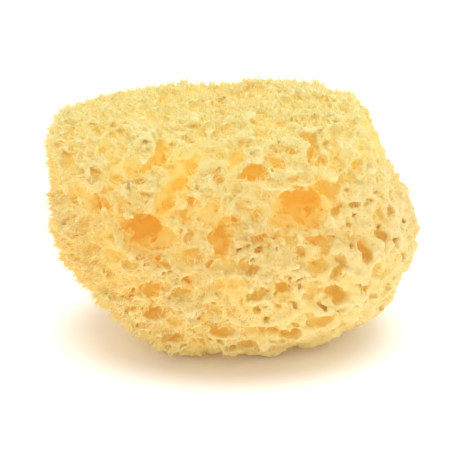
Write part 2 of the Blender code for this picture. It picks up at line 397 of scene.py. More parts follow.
@dataclass(frozen=True)
class Spongin:
    """Spongin, the horny protein of a bath sponge, grown as fibres, then sun-bleached and dried.

    It is matt and lets light through its thin walls, so the tips look pale and the depths glow orange. The
    light that comes through is partly stood in for by a weak glow, which grows with depth. The colour is
    painted with shade: more golden in the pits, and darker from the crown down to the foot. The fibres are a
    twentieth of a millimetre wide, too fine to show, so they are drawn ten times as coarse.

    Attributes:
        colours: The colour from the tips of the walls down to the depths. It turns more golden with depth,
            which is painted shade in the pits.
        pit_shade_depths: The depths of the first and the last colour, in millimetres.
        foot_shades: Painted shade that the colour and the glow are multiplied by, darker from the crown down
        to the foot.
        glows: The light that comes through the walls, from the skin down to the great mouths' ends.
        glow_depths: The depths of the first and the last glow, in millimetres.
        tuft_glow: The light that comes through a tuft's tip.
        tuft_strength: How much of that light a tip shows.
        inner_light: How much of the light is spread inside the walls.
        inner_reach: How far it is spread, in millimetres.
        inner_colour: How far red, green and blue are spread, as shares of that reach.
        specular: How much the dry surface mirrors.
        roughness: How matt it is.
        bump: How strongly the fibres show.
        fibre_width: A drawn fibre's width, in millimetres.
        fibre_height: A drawn fibre's height, in millimetres.
        patch_width: The width of a patch that is bleached more or less, in millimetres.
        unevenness: How much a patch shifts the colour, in millimetres of depth.
        crown_height: The height where the painted shade towards the foot ends, in millimetres.
    """

    # Painted shade in the pits: the colour turns more golden with depth.
    colours: Stops = ((0.0, "#F2E6AA"), (0.2, "#F2E4A0"), (0.5, "#F3E292"), (0.95, "#F4E18A"))
    pit_shade_depths: tuple[float, float] = (-2.0, 8.0)
    # Painted shade: the colour and the glow are darker from the crown down to the foot.
    foot_shades: Stops = ((0.05, "#F3EAE0"), (0.62, "#F9EEE6"), (0.98, "#FFFFFF"))
    glows: Stops = ((0.0, "#000000"), (0.3, "#5F5328"), (0.9, "#6A632F"))
    glow_depths: tuple[float, float] = (0.5, 14.0)
    tuft_glow: str = "#FFF0B0"
    tuft_strength: float = 0.16
    inner_light: float = 0.4
    inner_reach: float = 2.0
    inner_colour: tuple[float, float, float] = (1.0, 0.55, 0.2)
    specular: float = 0.1
    roughness: float = 0.85
    bump: float = 0.1
    fibre_width: float = 0.5
    fibre_height: float = 0.15
    patch_width: float = 7.0
    unevenness: float = 1.2
    crown_height: float = 90.0

    def add_ramp(
        self, tree: bpy.types.NodeTree, value: Socket, ends: tuple[float, float], stops: Stops
    ) -> Socket:
        """Adds a row of colours that a value runs through.

        Args:
            tree: The material's tree.
            value: The value.
            ends: The value at the first and the last stop.
            stops: The colours.

        Returns:
            The colour.
        """
        share = add_node(tree, RANGE, {"Value": value, "From Min": ends[0], "From Max": ends[1]})
        colour = add_node(tree, "ShaderNodeValToRGB", (share,), "Color")
        set_stops(colour, stops)
        return colour

    def add_colour(self, tree: bpy.types.NodeTree, depth: Socket, place: Socket, foot_shade: Socket) -> Socket:
        """Adds the colour of the walls, with painted shade in the pits and towards the foot.

        Args:
            tree: The material's tree.
            depth: The depth below the closed skin, in millimetres.
            place: The place on the object.
            foot_shade: Painted shade, darker towards the foot, that the colour is multiplied by.

        Returns:
            The colour.
        """
        values = {"Vector": place, "Scale": PER_METRE / self.patch_width, "Detail": 3.0}
        patches = add_node(tree, "ShaderNodeTexNoise", values)
        most = self.unevenness
        shift = add_node(tree, MATH, (patches, 2 * most, -most), operation="MULTIPLY_ADD")
        uneven = add_node(tree, MATH, (depth, shift), operation="ADD")
        # Painted shade in the pits: deeper places take the more golden colours.
        colour = self.add_ramp(tree, uneven, self.pit_shade_depths, self.colours)
        values = {"Factor": 1.0, "A": colour, "B": foot_shade}
        return add_node(tree, "ShaderNodeMix", values, data_type="RGBA", blend_type="MULTIPLY")

    def add_glow(self, tree: bpy.types.NodeTree, depth: Socket, foot_shade: Socket) -> Socket:
        """Adds the light that comes through the walls and the tips of the tufts.

        Args:
            tree: The material's tree.
            depth: The depth below the closed skin, in millimetres.
            foot_shade: Painted shade, darker towards the foot, that the light through the walls is multiplied
                by.

        Returns:
            The light's colour.
        """
        glow = self.add_ramp(tree, depth, self.glow_depths, self.glows)
        # Painted shade: the glow is darker towards the foot.
        values = {"Factor": 1.0, "A": glow, "B": foot_shade}
        shaded_glow = add_node(tree, "ShaderNodeMix", values, data_type="RGBA", blend_type="MULTIPLY")
        rise = add_node(tree, "ShaderNodeAttribute", output="Fac", attribute_name="rise")
        share = add_node(tree, MATH, (rise, self.tuft_strength), operation="MULTIPLY")
        values = {"Factor": share, "A": shaded_glow, "B": linear(self.tuft_glow)}
        return add_node(tree, "ShaderNodeMix", values, data_type="RGBA")

    def build(self) -> bpy.types.Material:
        """Makes the material, which reads how deep each point of the skeleton lies."""
        material = bpy.data.materials.new("bleached_spongin")
        material.use_nodes = True
        tree = material.node_tree
        shader = tree.nodes["Principled BSDF"]
        place = add_node(tree, "ShaderNodeTexCoord", output="Object")
        depth = add_node(tree, "ShaderNodeAttribute", output="Fac", attribute_name="depth")
        height = add_node(tree, "ShaderNodeSeparateXYZ", (place,), "Z")
        # Painted shade, darker from the crown down to the foot.
        foot_shade = self.add_ramp(tree, height, (0.0, self.crown_height * MM), self.foot_shades)
        scale = PER_METRE / self.fibre_width
        fibres = add_node(tree, "ShaderNodeTexNoise", {"Vector": place, "Scale": scale, "Detail": 2.0})
        values = {"Strength": self.bump, "Distance": self.fibre_height * MM, "Height": fibres}
        tuft = add_node(tree, "ShaderNodeAttribute", output="Fac", attribute_name="tuft")
        inner = add_node(tree, MATH, (tuft, -self.inner_light, self.inner_light), operation="MULTIPLY_ADD")
        tree.links.new(self.add_colour(tree, depth, place, foot_shade), shader.inputs["Base Color"])
        tree.links.new(add_node(tree, "ShaderNodeBump", values), shader.inputs["Normal"])
        tree.links.new(inner, shader.inputs["Subsurface Weight"])
        tree.links.new(self.add_glow(tree, depth, foot_shade), shader.inputs["Emission Color"])
        shader.inputs["Emission Strength"].default_value = 1.0
        shader.inputs["Subsurface Radius"].default_value = self.inner_colour
        shader.inputs["Subsurface Scale"].default_value = self.inner_reach * MM
        shader.inputs["Specular IOR Level"].default_value = self.specular
        shader.inputs["Roughness"].default_value = self.roughness
        return material


@dataclass(frozen=True)
class PaleFloor:
    """Matt white acrylic board, with a painted glow all round the sponge and a painted shadow under it.

    The glow begins round the sponge's outline, which is taken as an oval, and is weakest inside it.

    Attributes:
        colour: The acrylic's colour.
        roughness: The acrylic's roughness.
        specular: How much it mirrors.
        oval: Half the oval's width and half its depth, in metres.
        field_start: Where the painted glow begins, as a share of the oval.
        field_full: Where it is full.
        least: The glow under the sponge, kept weak as a painted shadow.
        most: The painted glow in the full field.
    """

    colour: str = "#F7F5F2"
    roughness: float = 0.7
    specular: float = 0.2
    oval: tuple[float, float] = (0.069, 0.057)
    field_start: float = 0.72
    field_full: float = 1.15
    least: float = 0.03
    most: float = 0.45

    def build(self) -> bpy.types.Material:
        """Makes the material."""
        material = bpy.data.materials.new("white_board")
        material.use_nodes = True
        tree = material.node_tree
        shader = tree.nodes["Principled BSDF"]
        place = add_node(tree, "ShaderNodeTexCoord", output="Object")
        wide, deep = self.oval
        shares = add_node(tree, VECTORS, (place, (1 / wide, 1 / deep, 0.0)), operation="MULTIPLY")
        reach = add_node(tree, VECTORS, (shares,), "Value", operation="LENGTH")
        # Painted light and shadow: the board glows round the sponge's oval, and hardly at all under it.
        painted_glow = add_node(
            tree,
            RANGE,
            {
                "Value": reach,
                "From Min": self.field_start,
                "From Max": self.field_full,
                "To Min": self.least,
                "To Max": self.most,
            },
            interpolation_type="SMOOTHSTEP",
        )
        tree.links.new(painted_glow, shader.inputs["Emission Strength"])
        shader.inputs["Emission Color"].default_value = (1.0, 1.0, 1.0, 1.0)
        shader.inputs["Base Color"].default_value = linear(self.colour)
        shader.inputs["Roughness"].default_value = self.roughness
        shader.inputs["Specular IOR Level"].default_value = self.specular
        return material


@dataclass
class PorePlugs:
    """The plugs that the pores are cast round. They are removed when the skeleton has grown.

    Attributes:
        hull: The sponge's convex hull, which the plugs are set on.
        view: The camera that the picture's pores are seen by.
        hidden_count: How many directions are tried for the pores of the hidden sides.
        seed: Seed of the hidden sides' draws.
        plug_detail: How often a plug's faces are split.
        lift: What a plug gains in depth, in millimetres, for the blend at its edge.
        widening: What its longer and shorter width are multiplied by, for the same reason.
        hem_widening: The same in the web along the sponge's lower edge.
        heart: The middle that the tried directions come to, in metres.
        start: How far from there they start, in metres.
        jitter: How far a direction strays.
        most_seen: How squarely a face may look at the camera and still count as hidden.
        least_up: How far down a face may look: below this it is the cut underside.
        lengths: The least and the most longer width of a hidden pore, in millimetres.
        slimness: The least and the most of its shorter width, as a share of the longer.
        plugs: The plugs so far.
    """

    hull: bpy.types.Object
    view: Viewpoint
    hidden_count: int = 260
    seed: int = 11
    plug_detail: int = 2
    lift: float = 0.4
    widening: tuple[float, float] = (1.12, 1.12)
    hem_widening: tuple[float, float] = (1.1, 1.55)
    heart: tuple[float, float, float] = (0.0, 0.0, 0.045)
    start: float = 0.2
    jitter: float = 0.12
    most_seen: float = 0.2
    least_up: float = -0.9
    lengths: tuple[float, float] = (3.0, 7.5)
    slimness: tuple[float, float] = (0.4, 0.85)
    plugs: list[bpy.types.Object] = field(default_factory=list)

    def add_plug(self, at: Vector, inward: Vector, along: Vector, size: tuple[float, float, float]) -> None:
        """Adds one egg-shaped plug.

        Args:
            at: Its middle, on the hull, in metres.
            inward: The way it runs in.
            along: About the way of its longer width.
            size: Its longer and shorter width and its depth, in millimetres.
        """
        across = inward.cross(along).normalized()
        along = across.cross(inward).normalized()
        turn = Matrix((along, across, inward)).transposed().to_euler()
        longer, shorter, depth = size
        bpy.ops.mesh.primitive_ico_sphere_add(
            subdivisions=self.plug_detail,
            radius=MM,
            location=at,
            rotation=turn,
            scale=(longer / 2, shorter / 2, depth),
        )
        self.plugs.append(bpy.context.object)

    def add_seen(self) -> None:
        """Adds the picture's pores."""
        for pore in PORES:
            ray = self.view.ray(pore.pixel)
            hit, at, normal, _ = self.hull.ray_cast(self.view.place, ray)
            if not hit:
                LOG.warning("pore %s misses the sponge", pore.name)
                continue
            turn = math.radians(pore.tilt)
            along = self.view.right * math.cos(turn) + self.view.up * math.sin(turn)
            inward = (ray - normal).normalized()
            per_pixel = (at - self.view.place).length / self.view.focal_pixels * PER_METRE
            widening = self.hem_widening if pore.name.startswith("hem") else self.widening
            longer, shorter = (gain * width * per_pixel for gain, width in zip(widening, pore.span))
            size = (longer, shorter, pore.depth.value + self.lift)
            self.add_plug(at, inward, along, size)

    def add_hidden(self) -> None:
        """Adds pores like the picture's on the sides that it doesn't show."""
        draw = random.Random(self.seed)
        for i in range(self.hidden_count):
            height = 1 - 2 * (i + 0.5) / self.hidden_count
            turn = i * math.pi * (3 - math.sqrt(5))
            level = math.sqrt(1 - height * height)
            outward = Vector((level * math.cos(turn), level * math.sin(turn), height))
            stray = Vector([draw.uniform(-self.jitter, self.jitter) for _ in range(3)])
            direction = (outward + stray).normalized()
            depth = draw.choice((DIMPLE, PIT, CANAL))
            longer = draw.uniform(*self.lengths)
            shorter = longer * draw.uniform(*self.slimness)
            lean = Vector([draw.uniform(-1.0, 1.0) for _ in range(3)])
            hit, at, normal, _ = self.hull.ray_cast(Vector(self.heart) + direction * self.start, -direction)
            if not hit or normal.dot(self.view.back) > self.most_seen or normal.z < self.least_up:
                continue
            self.add_plug(at, -normal, lean, (longer, shorter, depth.value))

    def build(self) -> bpy.types.Object:
        """Makes all plugs, as one object."""
        self.add_seen()
        self.add_hidden()
        bpy.ops.object.select_all(action="DESELECT")
        for plug in self.plugs:
            plug.select_set(True)
        bpy.context.view_layer.objects.active = self.plugs[0]
        bpy.ops.object.join()
        joined = bpy.context.object
        bpy.ops.object.transform_apply(location=True, rotation=True, scale=True)
        joined.name = "pore_plugs"
        LOG.info("pore plugs: %d", len(self.plugs))
        return joined


# The sponge is feathery up on the left and smooth low on the right. This line across it, x less 1.1 times
# the height above 36 mm, tells how far a place lies to the smooth side.
LEAN = -1.1
LEAN_START = 40.0


@dataclass
class Growth:
    """What a geometry node tree grows: the skeleton or a fringe.

    Attributes:
        tree: The tree that is being written.
        entry: The socket that the object's own mesh comes in by.
    """

    tree: bpy.types.NodeTree = field(init=False)
    entry: Socket = field(init=False)

    def begin(self, name: str) -> None:
        """Starts an empty tree."""
        self.tree = bpy.data.node_groups.new(name, "GeometryNodeTree")
        for side in ("INPUT", "OUTPUT"):
            self.tree.interface.new_socket(name="Mesh", in_out=side, socket_type="NodeSocketGeometry")
        self.entry = self.tree.nodes.new("NodeGroupInput").outputs[0]

    def add(self, kind: str, values: Any = (), output: Any = 0, **settings: Any) -> Socket:
        """Adds a node to the tree that is being written."""
        return add_node(self.tree, kind, values, output, **settings)

    def lean(self, position: Socket, unit: float) -> Socket:
        """How far a place lies to the smooth side, low on the right.

        Args:
            position: The place.
            unit: A millimetre, in the place's own units.

        Returns:
            The distance, in the same units.
        """
        across = self.add("ShaderNodeSeparateXYZ", (position,), "X")
        height = sibling(across, "Z")
        lowered = self.add(MATH, (height, LEAN, LEAN_START * unit), operation="MULTIPLY_ADD")
        return self.add(MATH, (across, lowered), operation="ADD")

    def grow(self, thing: bpy.types.Object, mesh: Socket) -> None:
        """Runs the tree on an object, and keeps what a socket gives as its mesh.

        Args:
            thing: The object.
            mesh: The finished mesh.
        """
        self.tree.links.new(mesh, self.tree.nodes.new("NodeGroupOutput").inputs[0])
        modifier = thing.modifiers.new(self.tree.name, "NODES")
        modifier.node_group = self.tree
        apply_modifier(thing, modifier)


@dataclass(frozen=True)
class Lumps:
    """Lumps that make a field uneven.

    Attributes:
        width: How wide a lump is, in millimetres.
        gain: What the noise is multiplied by, in millimetres. The noise is mostly within a quarter of zero.
        feathered: What the gain gains where the sponge is feathery.
        detail: How many finer layers the noise has.
    """

    width: float
    gain: float
    feathered: float = 0.0
    detail: float = 1.0


@dataclass
class Skeleton(Growth):
    """The honeycomb skeleton, grown through the sponge's skin. Lengths are millimetres.

    Attributes:
        skin: A merged copy of the solid, which becomes the skeleton.
        plugs: The pore plugs.
        smooth_ends: Where the smooth side begins and where it is full.
        cell: The width of a honeycomb cell.
        stretch: A cell's width for its depth into the skin.
        warp_width: The width of the swirls that the honeycomb is warped by.
        warp: How far they warp it.
        half_wall: Half a wall's thickness.
        smooth_wall: What half a wall gains on the smooth side.
        hem_wall: What it gains in the web along the lower right edge.
        hem_levels: The heights where that web begins and where it is full.
        patches: Patches of thicker and thinner walls.
        pit_levels: The heights between which the pits of the sides become the crown's.
        pit_depths: What a pit's depth gains from chance, at the sides and at the crown.
        least_pit: The least depth of a pit.
        pit_skew: How rare the deepest pits are.
        streak: What place is multiplied by, so that crumbs and swells are drawn out sideways.
        crumbs: Crumbs on the walls.
        rise: How high the crests stand above the skin.
        clefts: Wide swells and clefts of the crests.
        swells: Swells of the crests.
        knobs: Knobs on the crests, which lose height from their middles out.
        tufts: Coarse tufts on the crests.
        ragged_width: The width of the ragged shifts along a pore's edge.
        ragged: How far they shift it.
        blend: How softly walls, pits and crests meet.
        pore_blend: How softly the pores are cut in.
        rest: How high above the floor the skeleton is cut off.
        nothing: The field's value far outside.
        voxel: The field's step.
        margin: The room round the solid's box that the field fills.
        below: The room under it.
        smallest_island: The most points of a piece that hangs free and is dropped.
        evening: How far each point is moved to its neighbours' middle.
        triangles: The most triangles that the mesh may keep.
        closing: How far the skin is let out to close its mouths over.
        skin_grid: The step and the band, in steps, of the skin's distance grid.
        plug_grid: The same for the plugs.
        deep_grid: The same for the closed skin.
    """

    skin: bpy.types.Object
    plugs: bpy.types.Object
    smooth_ends: tuple[float, float] = (-20.0, 55.0)
    cell: float = 7.2
    stretch: float = 0.4
    warp_width: float = 7.0
    warp: float = 9.0
    half_wall: float = 1.45
    smooth_wall: float = 0.35
    hem_wall: float = 2.0
    hem_levels: tuple[float, float] = (30.0, 14.0)
    patches: Lumps = Lumps(9.0, 2.4)
    pit_levels: tuple[float, float] = (62.0, 86.0)
    pit_depths: tuple[float, float] = (6.0, 3.0)
    least_pit: float = 1.4
    pit_skew: float = 1.5
    streak: tuple[float, float, float] = (0.62, 0.8, 1.0)
    crumbs: Lumps = Lumps(3.0, 4.4, 1.2)
    rise: float = 1.0
    clefts: Lumps = Lumps(12.0, 4.5, detail=0.0)
    swells: Lumps = Lumps(4.2, 8.5)
    knobs: Lumps = Lumps(3.6, -1.0, -1.4)
    tufts: Lumps = Lumps(2.0, 1.8, 1.4)
    ragged_width: float = 2.4
    ragged: float = 2.6
    blend: float = 1.1
    pore_blend: float = 1.4
    rest: float = 0.1
    nothing: float = -3.0
    voxel: float = 0.8
    margin: float = 8.0
    below: float = 2.0
    smallest_island: float = 3000.0
    evening: float = 0.5
    triangles: int = 196_000
    closing: float = 9.0
    skin_grid: tuple[float, int] = (1.0, 14)
    plug_grid: tuple[float, int] = (0.8, 5)
    deep_grid: tuple[float, int] = (2.0, 14)

    def distance(self, mesh: Socket, grid: tuple[float, int]) -> Socket:
        """A grid of the signed distance to a closed mesh, positive outside.

        Args:
            mesh: The closed mesh.
            grid: The grid's step, and the band that it is kept for on each side, in steps.

        Returns:
            The grid, in metres.
        """
        step, band = grid
        return self.add("GeometryNodeMeshToSDFGrid", (mesh, step * MM, band))

    def read(self, grid: Socket, at: Socket) -> Socket:
        """The value of a distance grid at a position, in millimetres."""
        value = self.add("GeometryNodeSampleGrid", {0: grid, "Position": at})
        return self.add(MATH, (value, PER_METRE), operation="MULTIPLY")

    def gain(self, lumps: Lumps, feather: Socket) -> Socket:
        """What the noise of some lumps is multiplied by, more of it where the sponge is feathery."""
        return self.add(MATH, (feather, lumps.feathered, lumps.gain), operation="MULTIPLY_ADD")

    def lumped(self, lumps: Lumps, at: Socket, feather: Socket, start: Any) -> Socket:
        """A height with lumps added to it.

        Args:
            lumps: The lumps.
            at: The space that they are drawn in.
            feather: 1 where the sponge is feathery, and 0 where it is smooth.
            start: The height before.

        Returns:
            The height, in millimetres.
        """
        values = {"Vector": at, "Scale": 1 / lumps.width, "Detail": lumps.detail}
        noise = self.add("ShaderNodeTexNoise", values)
        about = self.add(MATH, (noise, 0.5), operation="SUBTRACT")
        return self.add(MATH, (about, self.gain(lumps, feather), start), operation="MULTIPLY_ADD")

    def swelled(self, swelling: Swelling, place: Socket) -> Socket:
        """What one swelling adds to the crests' height, in millimetres."""
        apart = self.add(VECTORS, (place, swelling.place), "Value", operation="DISTANCE")
        values = {"Value": apart, "From Min": swelling.radius, "From Max": 0.0, "To Max": swelling.rise}
        return self.add(RANGE, values, interpolation_type="SMOOTHSTEP")

    def grain_space(self, position: Socket) -> Socket:
        """The space that the honeycomb is drawn in: squeezed along the way into the skin, and warped.

        Args:
            position: The position in metres.

        Returns:
            A position in millimetres.
        """
        nearest = self.add("GeometryNodeProximity", {0: self.entry}, "Position", target_element="FACES")
        inward = self.add(VECTORS, (position, nearest), operation="SUBTRACT")
        kept = self.add(VECTORS, {0: inward, "Scale": self.stretch}, operation="SCALE")
        squeezed = self.add(VECTORS, (nearest, kept), operation="ADD")
        plain = self.add(VECTORS, {0: squeezed, "Scale": PER_METRE}, operation="SCALE")
        values = {"Vector": plain, "Scale": 1 / self.warp_width, "Detail": 1.0}
        swirl = self.add("ShaderNodeTexNoise", values, "Color")
        return self.add(VECTORS, (swirl, [self.warp] * 3, plain), operation="MULTIPLY_ADD")

    def half_walls(self, place: Socket, height: Socket, zone: Socket, feather: Socket) -> Socket:
        """Half the thickness of the honeycomb's walls, everywhere.

        Args:
            place: The position in millimetres.
            height: The height in millimetres.
            zone: 1 on the smooth side, and 0 where the sponge is feathery.
            feather: The other way round.

        Returns:
            The thickness, in millimetres.
        """
        half = self.lumped(self.patches, place, feather, self.half_wall)
        half = self.add(MATH, (zone, self.smooth_wall, half), operation="MULTIPLY_ADD")
        above, full = self.hem_levels
        low = self.add(RANGE, {"Value": height, "From Min": above, "From Max": full})
        hem = self.add(MATH, (low, zone), operation="MULTIPLY")
        return self.add(MATH, (hem, self.hem_wall, half), operation="MULTIPLY_ADD")

    def honeycomb(self, position: Socket, outside: Socket, height: Socket, half: Socket) -> Socket:
        """The cells: above zero in their walls and below their pits.

        Args:
            position: The position in metres.
            outside: The distance outside the skin.
            height: The height.
            half: Half a wall's thickness.

        Returns:
            The honeycomb's field, in millimetres.
        """
        cells = {"Vector": self.grain_space(position), "Scale": 1 / self.cell}
        edge = self.add("ShaderNodeTexVoronoi", cells, "Distance", feature="DISTANCE_TO_EDGE")
        wall = self.add(MATH, (edge, -self.cell, half), operation="MULTIPLY_ADD")
        heart = self.add("ShaderNodeTexVoronoi", cells, "Color", feature="F1")
        chance = self.add("ShaderNodeSeparateXYZ", (heart,), "X")
        skewed = self.add(MATH, (chance, self.pit_skew), operation="POWER")
        values = {"Value": height, "From Min": self.pit_levels[0], "From Max": self.pit_levels[1]}
        values |= {"To Min": self.pit_depths[0], "To Max": self.pit_depths[1]}
        depth = self.add(MATH, (skewed, self.add(RANGE, values), self.least_pit), operation="MULTIPLY_ADD")
        below = self.add(MATH, (outside, depth), operation="ADD")
        floor = self.add(MATH, (below, -1.0), operation="MULTIPLY")
        return self.add(MATH, (wall, floor, self.blend), operation="SMOOTH_MAX")

    def crests(self, place: Socket, drawn_out: Socket, feather: Socket) -> Socket:
        """How high the crests stand above the skin.

        Args:
            place: The position in millimetres.
            drawn_out: The space that the swells are drawn in.
            feather: 1 where the sponge is feathery, and 0 where it is smooth.

        Returns:
            The height, in millimetres.
        """
        level = self.lumped(self.clefts, place, feather, self.rise)
        level = self.lumped(self.swells, drawn_out, feather, level)
        values = {"Vector": place, "Scale": 1 / self.knobs.width}
        knobs = self.add("ShaderNodeTexVoronoi", values, "Distance", feature="F1")
        level = self.add(MATH, (knobs, self.gain(self.knobs, feather), level), operation="MULTIPLY_ADD")
        level = self.lumped(self.tufts, place, feather, level)
        for swelling in SWELLINGS:
            level = self.add(MATH, (level, self.swelled(swelling, place)), operation="ADD")
        return level

    def opened_pores(self, position: Socket, place: Socket) -> Socket:
        """The distance outside the pore plugs, with ragged edges, in millimetres."""
        values = {"Object": self.plugs}
        mesh = self.add("GeometryNodeObjectInfo", values, "Geometry", transform_space="RELATIVE")
        values = {"Vector": place, "Scale": 1 / self.ragged_width, "Detail": 1.0}
        swirl = self.add("ShaderNodeTexNoise", values, "Color")
        shift = self.add(VECTORS, (swirl, (0.5, 0.5, 0.5)), operation="SUBTRACT")
        moved = self.add(VECTORS, {0: shift, "Scale": self.ragged * MM}, operation="SCALE")
        there = self.add(VECTORS, (position, moved), operation="ADD")
        return self.read(self.distance(mesh, self.plug_grid), there)

    def body(self) -> Socket:
        """Writes the field that is above zero inside the skeleton, in millimetres."""
        position = self.add("GeometryNodeInputPosition")
        place = self.add(VECTORS, {0: position, "Scale": PER_METRE}, operation="SCALE")
        height = self.add("ShaderNodeSeparateXYZ", (place,), "Z")
        outside = self.read(self.distance(self.entry, self.skin_grid), position)
        begins, full = self.smooth_ends
        values = {"Value": self.lean(place, 1.0), "From Min": begins, "From Max": full}
        zone = self.add(RANGE, values, interpolation_type="SMOOTHSTEP")
        feather = self.add(MATH, (zone, -1.0, 1.0), operation="MULTIPLY_ADD")
        drawn_out = self.add(VECTORS, (place, self.streak), operation="MULTIPLY")

        comb = self.honeycomb(position, outside, height, self.half_walls(place, height, zone, feather))
        inside = self.lumped(self.crumbs, drawn_out, feather, comb)
        crests = self.crests(place, drawn_out, feather)
        skinned = self.add(MATH, (crests, outside), operation="SUBTRACT")
        grown = self.add(MATH, (inside, skinned, self.blend), operation="SMOOTH_MIN")
        pores = self.opened_pores(position, place)
        opened = self.add(MATH, (grown, pores, self.pore_blend), operation="SMOOTH_MIN")
        above = self.add(MATH, (height, self.rest), operation="SUBTRACT")
        return self.add(MATH, (opened, above), operation="MINIMUM")

    def mesh_of(self, body: Socket) -> Socket:
        """Makes the field a mesh, and drops what hangs free of the rest."""
        low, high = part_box(NODE)
        low = [v - self.margin * MM for v in low]
        low[2] = -self.below * MM
        high = [v + self.margin * MM for v in high]
        steps = [round((b - a) / (self.voxel * MM)) for a, b in zip(low, high)]
        volume = self.add("GeometryNodeVolumeCube", (body, self.nothing, low, high, *steps))
        values = {"Volume": volume, "Threshold": 0.0}
        mesh = self.add("GeometryNodeVolumeToMesh", values, resolution_mode="GRID")
        island = self.add("GeometryNodeInputMeshIsland")
        size = self.add("GeometryNodeAccumulateField", (1.0, island), "Total")
        small = self.add("FunctionNodeCompare", (size, self.smallest_island), operation="LESS_THAN")
        return self.add("GeometryNodeDeleteGeometry", (mesh, small))

    def thin_out(self) -> None:
        """Smooths the field's steps away, and thins the mesh to its most triangles."""
        modifier = self.skin.modifiers.new("smooth", "SMOOTH")
        modifier.factor = self.evening
        modifier.iterations = 1
        apply_modifier(self.skin, modifier)
        count = sum(len(face.vertices) - 2 for face in self.skin.data.polygons)
        modifier = self.skin.modifiers.new("thin", "DECIMATE")
        modifier.ratio = min(1.0, self.triangles / count)
        modifier.use_collapse_triangulate = True
        apply_modifier(self.skin, modifier)

    def measure_depth(self, keeper: bpy.types.Object) -> None:
        """Stores on each point its depth below the closed skin, and the way out of the sponge.

        Args:
            keeper: A copy of the skin before the skeleton was grown.
        """
        self.begin("measure_depth")
        skin = self.add("GeometryNodeObjectInfo", {"Object": keeper}, "Geometry", transform_space="RELATIVE")
        near = self.distance(skin, self.skin_grid)
        puffed = self.add("GeometryNodeGridToMesh", (near, self.closing * MM))
        closed = self.distance(puffed, self.deep_grid)
        position = self.add("GeometryNodeInputPosition")
        here = self.read(closed, position)
        depth = self.add(MATH, (here, -1.0, -self.closing), operation="MULTIPLY_ADD")
        rises = []
        for axis in range(3):
            step = [0.0, 0.0, 0.0]
            step[axis] = 2 * self.deep_grid[0] * MM
            there = self.add(VECTORS, (position, step), operation="ADD")
            rises.append(self.add(MATH, (self.read(closed, there), here), operation="SUBTRACT"))
        slope = self.add("ShaderNodeCombineXYZ", rises)
        outward = self.add(VECTORS, (slope,), operation="NORMALIZE")
        values = {"Geometry": self.entry, "Name": "depth", "Value": depth}
        mesh = self.add("GeometryNodeStoreNamedAttribute", values)
        values = {"Geometry": mesh, "Name": "outward", "Value": outward}
        mesh = self.add("GeometryNodeStoreNamedAttribute", values, data_type="FLOAT_VECTOR")
        self.grow(self.skin, mesh)

    def build(self) -> bpy.types.Object:
        """Grows the skeleton."""
        keeper = duplicate(self.skin, "skin_keeper")
        self.begin("grow_skeleton")
        self.grow(self.skin, self.mesh_of(self.body()))
        LOG.info("skeleton: %d faces before thinning", len(self.skin.data.polygons))
        self.thin_out()
        self.measure_depth(keeper)
        bpy.data.objects.remove(keeper)
        self.skin.data.shade_smooth()
        LOG.info("skeleton: %d faces", len(self.skin.data.polygons))
        return self.skin


